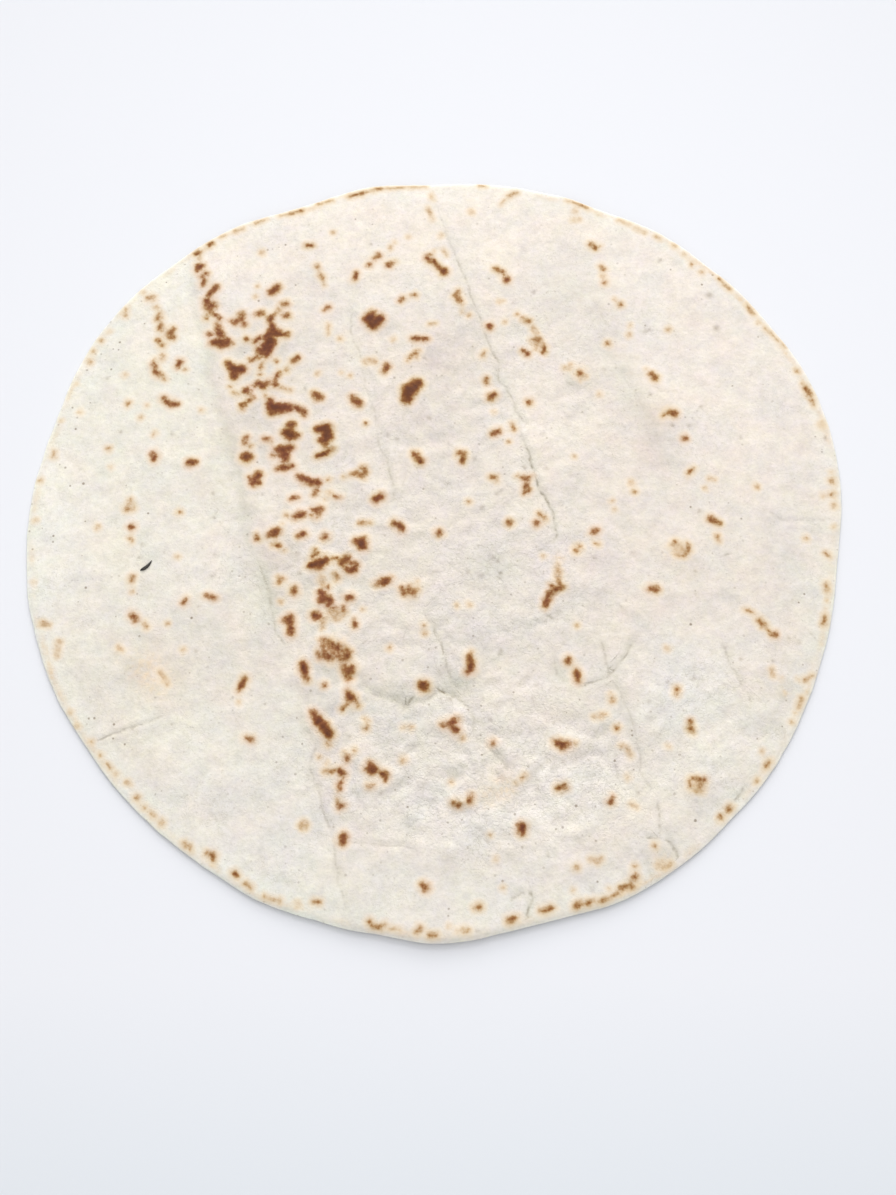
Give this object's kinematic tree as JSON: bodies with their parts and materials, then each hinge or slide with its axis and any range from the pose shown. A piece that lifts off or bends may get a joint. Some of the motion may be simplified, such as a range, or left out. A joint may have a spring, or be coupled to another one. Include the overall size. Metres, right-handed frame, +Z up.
{
  "type": "plain round flatbread",
  "caption": "Soft round wrap flatbread lying open and unfilled: thin griddled dough with scorch marks, blisters, soft folds and a lightly toasted, rounded edge.",
  "frame": {"origin": "under the middle of the round, on the surface that it lies on", "axes": "+Z up through the thin way of the bread, -Y towards the front edge of the pictured round, +X to its right"},
  "size_m": [0.301, 0.3, 0.0043],
  "materials": {
    "baked_dough": "soft matt baked dough, ivory with scattered brown scorch marks"
  },
  "bodies": {
    "root": {"flatbread": "baked_dough"}
  },
  "joints": []
}
